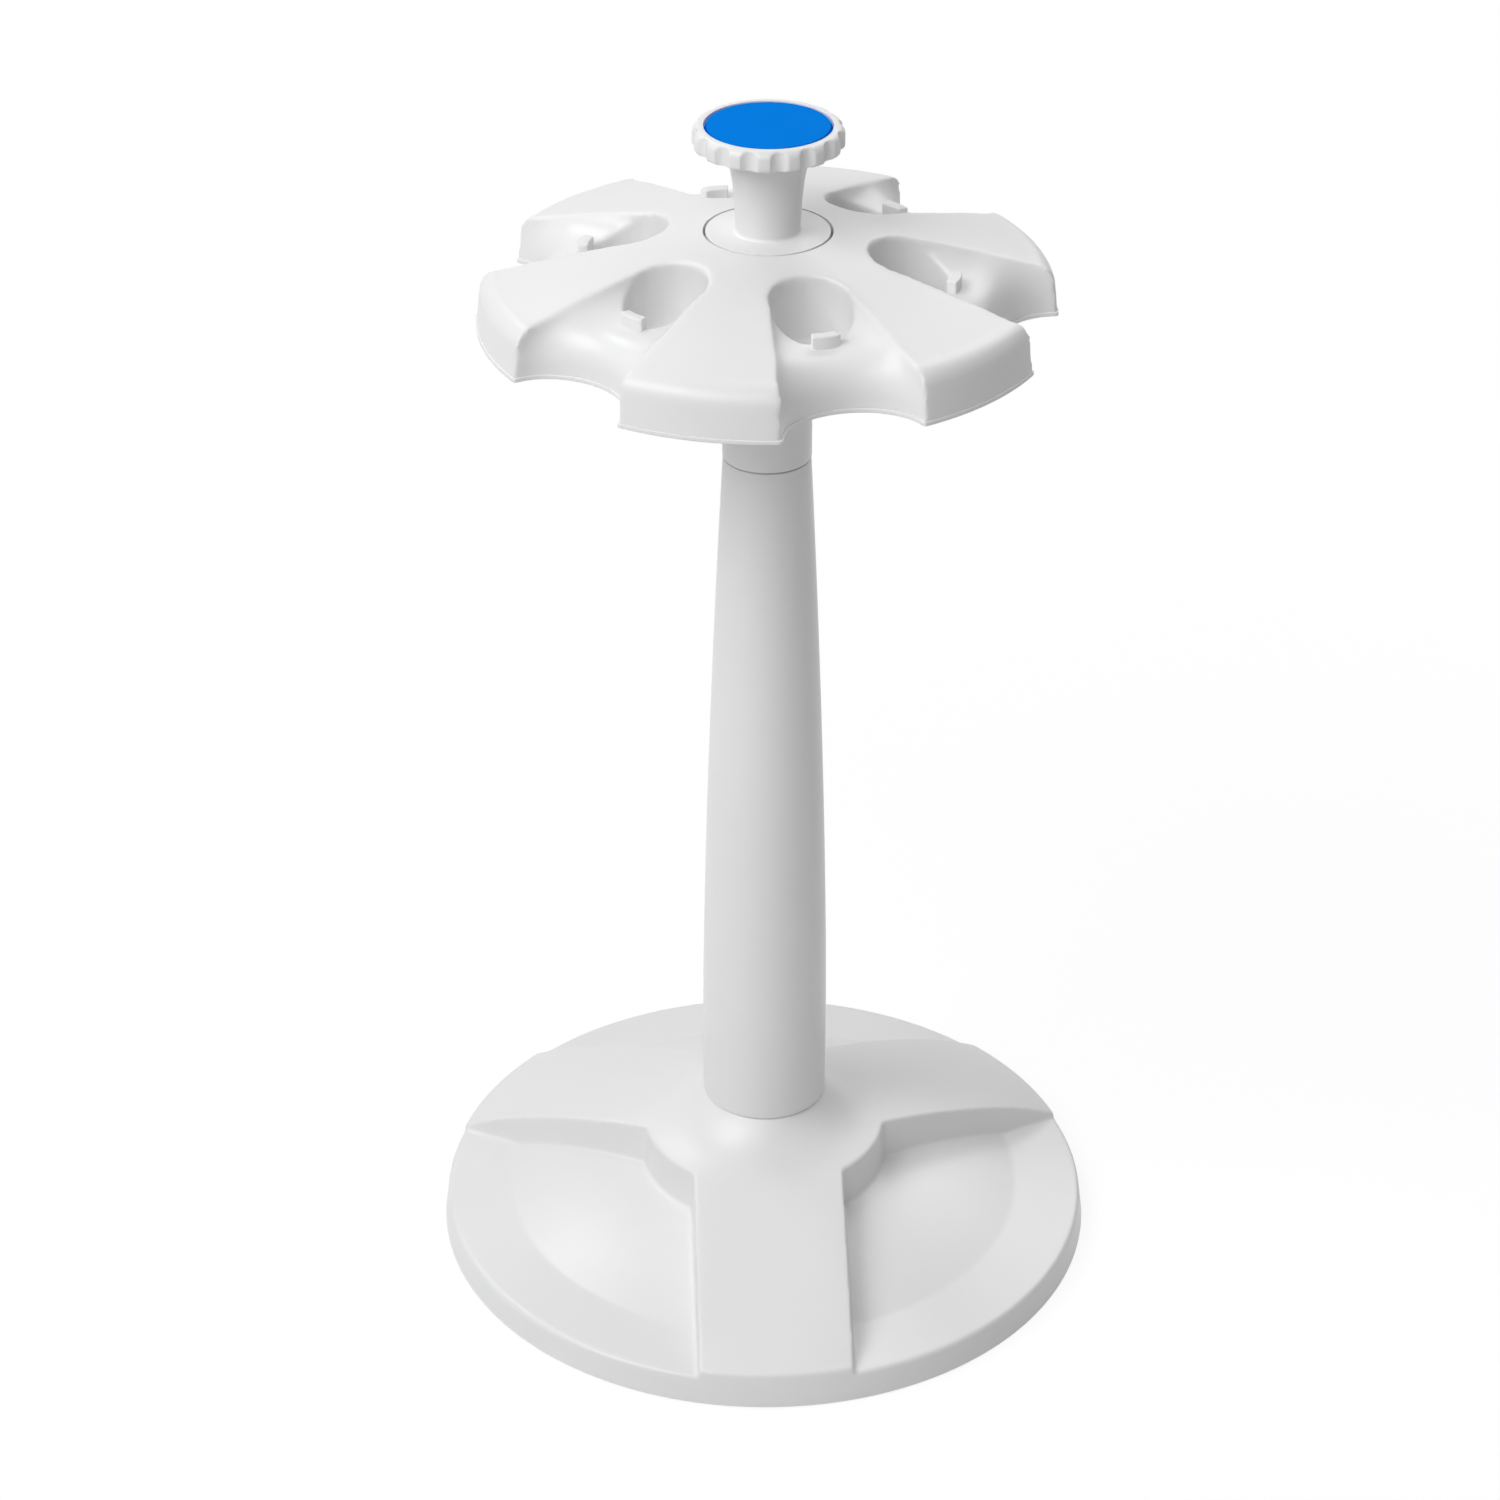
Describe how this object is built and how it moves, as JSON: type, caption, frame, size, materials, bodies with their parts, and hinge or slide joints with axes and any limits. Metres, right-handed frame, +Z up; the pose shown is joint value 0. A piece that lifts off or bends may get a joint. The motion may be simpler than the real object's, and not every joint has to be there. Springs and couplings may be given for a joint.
{
  "type": "pipette carousel stand",
  "caption": "Bench stand with a weighted disc base, a tapered column and a turning carousel whose scooped places hold pipettes by their finger hooks, under a fluted lifting knob.",
  "frame": {"origin": "on the bench, under the column's axis", "axes": "+Z up along the column, front towards -Y, +X to the right seen from the front"},
  "size_m": [0.1886, 0.1886, 0.34],
  "materials": {
    "white_abs": "fine satin moulded",
    "blue_abs": "satin moulded",
    "grey_plate": "fine satin moulded",
    "plug_plastic": "moulded",
    "foot_rubber": "matt",
    "cast_ballast": "painted casting",
    "steel": "turned",
    "zinc_screw": "zinc plated",
    "brass_insert": "knurled",
    "acetal": "natural acetal"
  },
  "bodies": {
    "stand": {"base_cover": "white_abs", "base_plate": "grey_plate", "ballast_ring": "cast_ballast", "rubber_feet": "foot_rubber", "base_plate_screws": "zinc_screw", "column": "white_abs", "column_foot_plug": "plug_plastic", "foot_insert": "brass_insert", "column_bolt": "zinc_screw", "column_bolt_washer": "zinc_screw", "column_top_plug": "plug_plastic", "spindle": "steel", "lower_thrust_washer": "acetal"},
    "carousel": {"lower_bush": "acetal", "upper_bush": "acetal", "collar": "white_abs", "carousel_shell": "white_abs", "carousel_plate": "white_abs", "carousel_screws": "zinc_screw"},
    "lift_washer": {"lift_washer": "acetal"},
    "handle": {"handle_stem": "white_abs", "handle_insert": "brass_insert", "handle_knob": "white_abs", "knob_screw": "zinc_screw", "knob_washer": "zinc_screw", "knob_cap": "blue_abs"}
  },
  "joints": [
    {"name": "carousel_spin", "type": "hinge", "parent": "stand", "child": "carousel", "pos_m": [0, 0, 0.29], "axis": [0, 0, 1], "continuous": true},
    {"name": "handle_rise", "type": "slide", "parent": "stand", "child": "lift_washer", "axis": [0, 0, 1], "range_m": [0, 0.0113]},
    {"name": "handle_turn", "type": "hinge", "parent": "lift_washer", "child": "handle", "pos_m": [0, 0, 0.31], "axis": [0, 0, 1], "range_deg": [0, 3240]}
  ],
  "couplings": [
    {"joint": "handle_rise", "follows": "handle_turn", "m_per_rad": 0.00019894}
  ]
}
